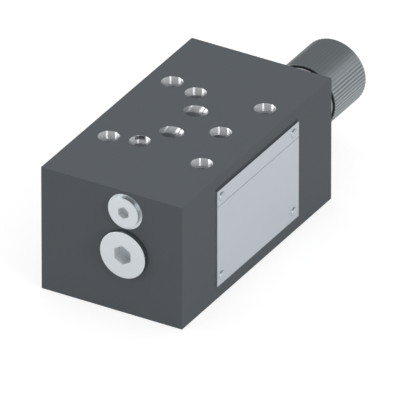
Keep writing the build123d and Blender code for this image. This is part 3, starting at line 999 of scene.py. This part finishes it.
@dataclass
class SpoolSet(Assembly):
    """The spool, its spring plate, the spring and the adjuster's spring seat.

    Args:
        start: Station of the spring's front end.
        end: Station of the spring's rear end.
        coil: Radius of the wire's middle line.
        wire: Radius of the wire.
        turns: Number of turns, with the closed end turns.
    """

    start: float = 27.02
    end: float = 56.98
    coil: float = 6.8
    wire: float = 1.2
    turns: float = 7.0

    def _on_axis(self, station: float) -> Triple:
        """Give a point of the axis, in metres."""
        return (self.x * MM, station * MM, self.z * MM)

    def _climb(self, share: np.ndarray) -> np.ndarray:
        """Give the speed of the climb at a share of the turns."""
        ease = np.clip(np.minimum(share, 1.0 - share) * self.turns, 0.0, 1.0)
        return 0.25 + 0.75 * ease * ease * (3.0 - 2.0 * ease)

    def spring_half(self, name: str, first: float, last: float) -> Piece:
        """Wind one half of the spring, with its end closed and ground flat.

        The middle line turns evenly; it climbs by a smooth step from a closed end turn to the open pitch.
        The round wire stands square to it, and what reaches past the ground ends is pressed onto them.

        Args:
            name: The piece's name.
            first: Share of the turns at which the half starts.
            last: Share of the turns at which it ends.

        Returns:
            The object.
        """
        rows, cols = 260, 16
        share, full = np.linspace(first, last, rows), np.linspace(0.0, 1.0, 2001)
        climb = np.concatenate([[0.0], np.cumsum(self._climb(full[1:]))])
        length = self.end - self.start - 1.0
        y = self.start + 0.5 + np.interp(share, full, climb / climb[-1]) * length
        turn = share * self.turns * TURN
        rise = self._climb(share) / climb[-1] * (len(full) - 1) * length / (self.turns * TURN)
        out = np.stack([np.cos(turn), 0.0 * turn, np.sin(turn)], -1)
        along = np.stack([-self.coil * np.sin(turn), rise, self.coil * np.cos(turn)], -1)
        along /= np.linalg.norm(along, axis=1, keepdims=True)
        side = np.cross(along, out)
        spot = self.coil * out + np.stack([0.0 * y + self.x, y, 0.0 * y + self.z], -1)
        a = around(cols)[None, :, None]
        tube = spot[:, None] + self.wire * (np.cos(a) * out[:, None] + np.sin(a) * side[:, None])
        tube[..., 1] = np.clip(tube[..., 1], self.start, self.end)
        points = np.concatenate([tube.reshape(-1, 3), spot[[0, -1]]])
        return make_mesh(name, points, skin(rows, cols, False), 40.0)

    def build(self) -> None:
        """Build the spring and dress the rest."""
        ground = Metal("ground_steel", (0.56, 0.57, 0.58), Sheen.GROUND, Grain.ROUND_Y).material()
        wire = Metal("spring_wire", (0.30, 0.30, 0.32), Sheen.BRUSHED).material()
        for name in ("spool", "spool_spring_plate", "adjuster_spring_seat"):
            dress(self.nodes[name], ground)
            log.info("spool set: %s", name)
        front = self.spring_half("spring_front_half", 0.0, 0.5)
        back = self.spring_half("spring_rear_half", 0.5, 1.0)
        for piece in (front, back):
            dress(piece, wire)
            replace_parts(piece, "compression_spring")
            log.info("spool set: %s", piece.name)
        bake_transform(front)
        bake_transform(back)


@dataclass
class DataPlate(Assembly):
    """The bare data plate and its four domed rivets.

    Args:
        inset: Distance of a rivet from the plate's edges.
        buried: Length of a rivet behind the plate's outer face.
        head: Radius of a rivet's head.
        shank: Radius of its shank.
        dome: Height of its head.
        rim: Height of the head's upright rim.
    """

    inset: float = 4.0
    buried: float = 3.3
    head: float = 2.2
    shank: float = 1.2
    dome: float = 0.9
    rim: float = 0.15

    def rivets(self) -> Piece:
        """Head four rivets, one in each corner of the plate.

        The head's outline is a quarter ellipse over its seat, on a plain shank; the outline is carried
        round each rivet's axis along X.

        Returns:
            The object.
        """
        low, high = (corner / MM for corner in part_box("nameplate"))
        face, tip, a = high.x, high.x - self.buried, around(40)
        t = np.linspace(0.0, math.pi / 2, 9)[1:-1]
        wide, above = self.head * np.cos(t), self.rim + (self.dome - self.rim) * np.sin(t)
        r = np.array([0.1, self.shank - 0.2, self.shank, self.shank, self.head, *wide, 0.15])
        x = np.array([tip, tip, tip + 0.2, face, face, *(face + above), face + self.dome])
        points, faces = [], []
        for y in (low.y + self.inset, high.y - self.inset):
            for z in (low.z + self.inset, high.z - self.inset):
                rim = (x[:, None], y + r[:, None] * np.cos(a), z + r[:, None] * np.sin(a))
                grid = np.stack(np.broadcast_arrays(*rim), -1).reshape(-1, 3)
                faces += [f + sum(map(len, points)) for f in skin(len(r), len(a), False)]
                points.append(np.concatenate([grid, [(x[0], y, z), (x[-1], y, z)]]))
        return make_mesh("plate_rivets_domed", np.concatenate(points), faces, 40.0)

    def build(self) -> None:
        """Build the rivets and dress the plate."""
        metal = Metal("plate_metal", (0.705, 0.756, 0.802), Sheen.SMOOTH, Grain.ALONG_Y, clouding=0.03)
        brushed = metal.material()
        dress(self.nodes["nameplate"], brushed)
        piece = dress(self.rivets(), brushed)
        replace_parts(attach(piece, "block"), "nameplate_rivets")
        log.info("data plate: plate and rivets")


@dataclass
class PortSeals(Assembly):
    """The five ring seals in the lower face.

    Args:
        middle: Radius of a ring's middle circle.
        thick: Half of its section's radial size.
        wide: Half of its section's height.
        lift: Height of its centre.
        spots: Centre of each port by the end of its node's name, as (x, y).
    """

    middle: float = 6.9
    thick: float = 1.1
    wide: float = 0.745
    lift: float = 0.75
    spots: dict[str, tuple[float, float]] = field(default_factory=lambda: {
        "p": (16.7, 0.0), "a": (1.6, -10.3), "b": (1.6, 10.3), "t": (-9.5, -23.8), "t1": (-9.5, 23.8),
    })

    def build(self) -> None:
        """Mould and place the seals."""
        rubber = Rubber("port_seal_rubber").material()
        for key, (x, y) in self.spots.items():
            place, sizes = (x, y, self.lift), (self.middle, self.thick, self.wide)
            piece = dress(squeezed_ring(f"port_ring_{key}", place, *sizes, along_y=False), rubber)
            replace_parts(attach(piece, "block"), f"port_o_ring_{key}")
            log.info("port seals: %s", piece.name)


@dataclass
class Photograph:
    """The photograph's frame and its parallel view, seen through a very long lens.

    Args:
        pixels: Width and height of the picture.
        pixels_per_mm: The picture's scale.
        azimuth: Degrees round from looking along +Y.
        elevation: Degrees above the horizon.
        aim: The point at the picture's centre, in millimetres.
        lens: Focal length in millimetres.
        clip: Nearest and farthest distance that is shown, in metres.
    """

    pixels: float = 400.0
    pixels_per_mm: float = 2.3261
    azimuth: float = 30.144
    elevation: float = 30.366
    aim: Triple = (0.169, 10.85, 16.005)
    lens: float = 1700.0
    clip: tuple[float, float] = (0.1, 40.0)

    def camera(self) -> None:
        """Place the camera and make it the scene's."""
        data = bpy.data.cameras.new("photograph")
        data.lens = self.lens
        width = self.pixels / self.pixels_per_mm * MM
        distance = width * self.lens / data.sensor_width
        round_, up = math.radians(self.azimuth), math.radians(self.elevation)
        back = Vector((math.sin(round_) * math.cos(up), -math.cos(round_) * math.cos(up), math.sin(up)))
        camera = add_object("photograph", data)
        camera.location = Vector(self.aim) * MM + back * distance
        camera.rotation_mode = "QUATERNION"
        camera.rotation_quaternion = (-back).to_track_quat("-Z", "Y")
        data.clip_start, data.clip_end = self.clip
        bpy.context.scene.camera = camera


@dataclass
class Studio:
    """White floor, soft sky with a darker quarter and soft boxes for metal to reflect, and one soft sun.

    Args:
        floor_size: Side of the floor in metres.
        floor_white: Strength that the floor adds to what the camera sees.
        floor_pale: Strength that it adds to what metal reflects.
        floor_loss: What it loses of that far out on the right.
        sky: Strength of the sky on the object, at the horizon.
        zenith: Share by which the sky is weaker overhead.
        bright: Strength of the horizon that metal reflects.
        overhead: Strength of what metal reflects overhead and in the dark quarter.
        glow: What the horizon adds to that.
        dark_towards: Middle of the dark quarter, in degrees from +X towards +Y.
        sun: Strength of the sun.
        sun_from: Direction towards the sun.
        sun_width: Degrees that the sun is wide.
        box_top: Height that the soft boxes reach, as the sine of its angle.
        box_light: Strength that a soft box adds.
        boxes: The soft boxes' directions in degrees from +X towards +Y, each with half of its width.
    """

    floor_size: float = 30.0
    floor_white: float = 0.7
    floor_pale: float = 0.4
    floor_loss: float = 0.2
    sky: float = 0.8
    zenith: float = 0.2
    bright: float = 0.66
    overhead: float = 0.25
    glow: float = 0.14
    dark_towards: float = 130.0
    sun: float = 0.52
    sun_from: Triple = (0.9, -0.33, 0.32)
    sun_width: float = 20.0
    box_top: float = 0.5
    box_light: float = 3.0
    boxes: tuple[tuple[float, float], ...] = ((-42.0, 9.0), (-142.0, 13.0), (178.0, 14.0))

    def build(self) -> None:
        """Build the floor, the sky and the sun."""
        self._floor()
        self._sky()
        self._sun()
        log.info("studio: floor, sky and sun")

    def _floor(self) -> None:
        """Lay a floor that shows white to the camera, pale to metal, and keeps a faint shadow."""
        half = self.floor_size / 2
        mesh = bpy.data.meshes.new("floor")
        corners = [(-half, -half, 0.0), (half, -half, 0.0), (half, half, 0.0), (-half, half, 0.0)]
        mesh.from_pydata(corners, [], [(0, 1, 2, 3)])
        floor = add_object("floor", mesh)
        floor.location.z = -0.2 * MM
        made = Material("floor_white")
        made.set("Base Color", (0.5, 0.5, 0.5))
        made.set("Roughness", 1.0)
        made.set("Specular IOR Level", 0.0)
        seen, mirrored = made.rays()
        x, y = made.place()[:2]
        reach = made.math("SQRT", made.math("ADD", made.product(x, x), made.product(y, y)))
        far_right = made.product(made.ramp(reach, 0.16, 0.36), made.ramp(x, -0.05, 0.05))
        pale = made.math("MULTIPLY_ADD", far_right, -self.floor_loss, self.floor_pale)
        white = made.product(seen, self.floor_white)
        made.set("Emission Color", (1.0, 1.0, 1.0))
        made.set("Emission Strength", made.math("MULTIPLY_ADD", mirrored, pale, white))
        mesh.materials.append(made.data)

    def _sky(self) -> None:
        """Light the object evenly, show white to the camera, and the shaded sky with its boxes to metal."""
        world = bpy.data.worlds.new("sky")
        bpy.context.scene.world = world
        world.use_nodes = True
        sky = Shading(world.node_tree)
        place = sky.node("ShaderNodeTexCoord").outputs["Generated"]
        up = sky.math("MAXIMUM", sky.vector("DOT_PRODUCT", place, (0.0, 0.0, 1.0), 1), 0.0)
        level = sky.vector("NORMALIZE", sky.vector("MULTIPLY", place, (1.0, 1.0, 0.0)))
        fall = sky.ramp(self._facing(sky, level, self.dark_towards), 0.0, 1.0)
        left = sky.product(sky.rest(fall), sky.rest(sky.ramp(up, 0.33, 0.7)))
        low = sky.math("MULTIPLY_ADD", sky.ramp(up, 0.0, 0.3), -self.glow, self.overhead + self.glow)
        shaded = sky.math("MULTIPLY_ADD", left, self.bright - self.overhead, low)
        above = sky.product(sky.math("GREATER_THAN", up, 0.0), sky.math("LESS_THAN", up, self.box_top))
        for towards, half_angle in self.boxes:
            edge = math.cos(math.radians(half_angle))
            lit = sky.math("GREATER_THAN", self._facing(sky, level, towards), edge)
            shaded = sky.math("MULTIPLY_ADD", sky.product(lit, above), self.box_light, shaded)
        seen, mirrored = sky.rays()
        plain = sky.math("MULTIPLY_ADD", up, -self.zenith * self.sky, self.sky)
        change = sky.product(mirrored, sky.math("SUBTRACT", shaded, plain))
        soft = sky.math("ADD", change, plain)
        white = sky.product(seen, sky.rest(soft))
        background = sky.tree.nodes["Background"]
        background.inputs["Color"].default_value = (1.0, 1.0, 1.0, 1.0)
        sky.join(sky.math("ADD", soft, white), background.inputs["Strength"])

    @staticmethod
    def _facing(sky: Shading, level: Socket, towards: float) -> Socket:
        """Give the cosine between a level direction and one that is given in degrees from +X."""
        turn = math.radians(towards)
        return sky.vector("DOT_PRODUCT", level, (math.cos(turn), math.sin(turn), 0.0), 1)

    def _sun(self) -> None:
        """Hang a soft sun that metal doesn't mirror."""
        data = bpy.data.lights.new("sun", "SUN")
        data.energy = self.sun
        data.angle = math.radians(self.sun_width)
        sun = add_object("sun", data)
        sun.visible_glossy = False
        sun.rotation_mode = "QUATERNION"
        sun.rotation_quaternion = Vector(self.sun_from).to_track_quat("Z", "Y")


def main() -> None:
    """Build the scene."""
    logging.basicConfig(level=logging.INFO, format="%(name)s: %(message)s")
    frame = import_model()
    for assembly in (Block, FrontPlugs, Adjuster, SpoolSet, DataPlate, PortSeals):
        assembly(frame["nodes"]).build()
    Studio().build()
    Photograph().camera()
    bpy.context.scene.view_settings.view_transform = "Standard"


if __name__ == "__main__":
    main()
